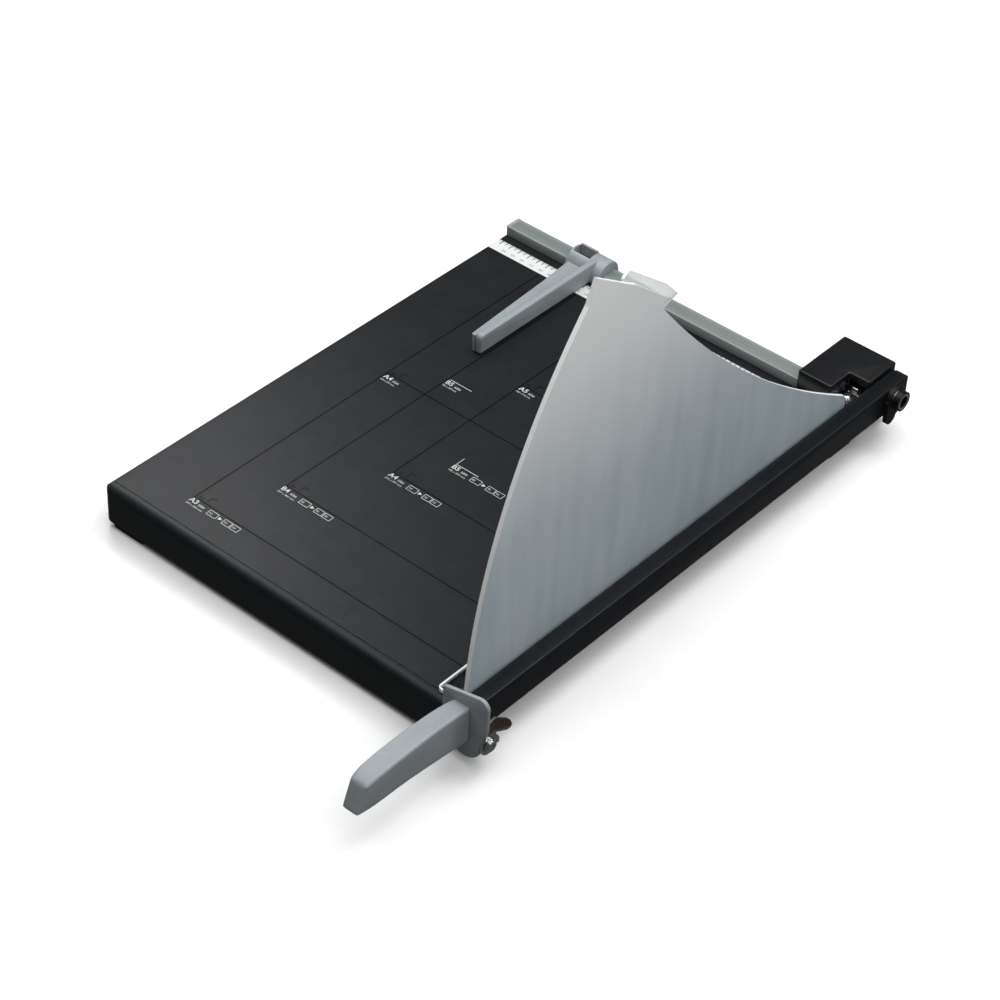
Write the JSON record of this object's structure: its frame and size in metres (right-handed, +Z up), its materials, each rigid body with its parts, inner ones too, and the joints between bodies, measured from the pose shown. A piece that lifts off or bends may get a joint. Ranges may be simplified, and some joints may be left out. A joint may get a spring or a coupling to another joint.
{
  "type": "guillotine paper cutter",
  "caption": "Table-top guillotine paper cutter with a swinging blade arm, clear paper clamp, fan-shaped hand guard, rear fence and sliding side guide.",
  "frame": {"origin": "centre of the whole part's bounding box in plan, at the underside of the feet", "axes": "+X across the table towards the blade, +Y from the handle end towards the fence, +Z up"},
  "size_m": [0.3849, 0.634, 0.3375],
  "materials": {
    "table_coat": "dark grey fine-textured powder coat",
    "black_steel": "black painted steel",
    "rubber": "matt black moulded rubber",
    "blade_steel": "ground tool steel",
    "rule_print": "white printed strip",
    "fence_alloy": "grey-green anodised, satin",
    "grey_cap": "satin grey moulded plastic",
    "bright_steel": "bright plated steel",
    "bolt_steel": "blackened steel",
    "spring_steel": "plain spring steel",
    "cover_plastic": "black satin moulded plastic",
    "bronze": "plain turned bronze",
    "arm_coat": "black satin paint",
    "handle_plastic": "grey satin moulded plastic",
    "plated_steel": "bright plated steel",
    "clear_plastic": "clear acrylic, polished",
    "guard_plastic": "frosted translucent acrylic",
    "guide_plastic": "grey satin moulded plastic"
  },
  "bodies": {
    "base": {"table": "table_coat", "table_braces": "black_steel", "foot_plates": "black_steel", "corner_feet": "rubber", "foot_screws": "bright_steel", "bed_bar": "black_steel", "bed_knife": "blade_steel", "bed_screws": "bright_steel", "rule_strip": "rule_print", "fence": "fence_alloy", "fence_end_cap": "grey_cap", "fence_screws": "bright_steel", "pivot_bracket": "black_steel", "lock_plate": "black_steel", "bracket_screws": "bright_steel", "pivot_bolt": "bolt_steel", "pivot_nut": "bright_steel", "disc_springs": "spring_steel", "pivot_cover": "cover_plastic", "cover_screws": "bright_steel", "clamp_hinge_block": "black_steel", "clamp_hinge_pin": "bright_steel", "clamp_block_screw": "bright_steel", "catch_lug": "bright_steel", "catch_screws": "bright_steel"},
    "arm": {"arm_bar": "arm_coat", "blade": "blade_steel", "blade_screws": "bright_steel", "pivot_bush": "bronze", "arm_tang": "black_steel", "handle": "handle_plastic", "handle_screws": "bright_steel", "latch_screw": "bright_steel"},
    "latch": {"latch_lever": "plated_steel"},
    "clamp": {"clamp_plate": "clear_plastic", "hand_guard": "guard_plastic", "guard_gussets": "clear_plastic", "guard_lip": "clear_plastic", "clamp_hinge_leaf": "bright_steel", "clamp_screw": "bright_steel"},
    "guide": {"guide_arm": "guide_plastic", "guide_pin": "bright_steel"},
    "guide_thumb": {"guide_lever": "guide_plastic"}
  },
  "joints": [
    {"name": "arm_swing", "type": "hinge", "parent": "base", "child": "arm", "pos_m": [0.1625, 0.292, 0.0455], "axis": [-1, 0, 0], "range_deg": [0, 42]},
    {"name": "latch_turn", "type": "hinge", "parent": "arm", "child": "latch", "pos_m": [0.1855, -0.198, 0.0245], "axis": [-1, 0, 0], "range_deg": [0, 60]},
    {"name": "clamp_lift", "type": "hinge", "parent": "base", "child": "clamp", "pos_m": [0.1505, 0.2817, 0.0427], "axis": [-1, 0, 0], "range_deg": [0, 1.5]},
    {"name": "guide_slide", "type": "slide", "parent": "base", "child": "guide", "axis": [1, 0, 0], "range_m": [-0.06, 0.197]},
    {"name": "guide_release", "type": "hinge", "parent": "guide", "child": "guide_thumb", "pos_m": [-0.1085, 0.2752, 0.048], "axis": [-1, 0, 0], "range_deg": [0, 25]}
  ]
}
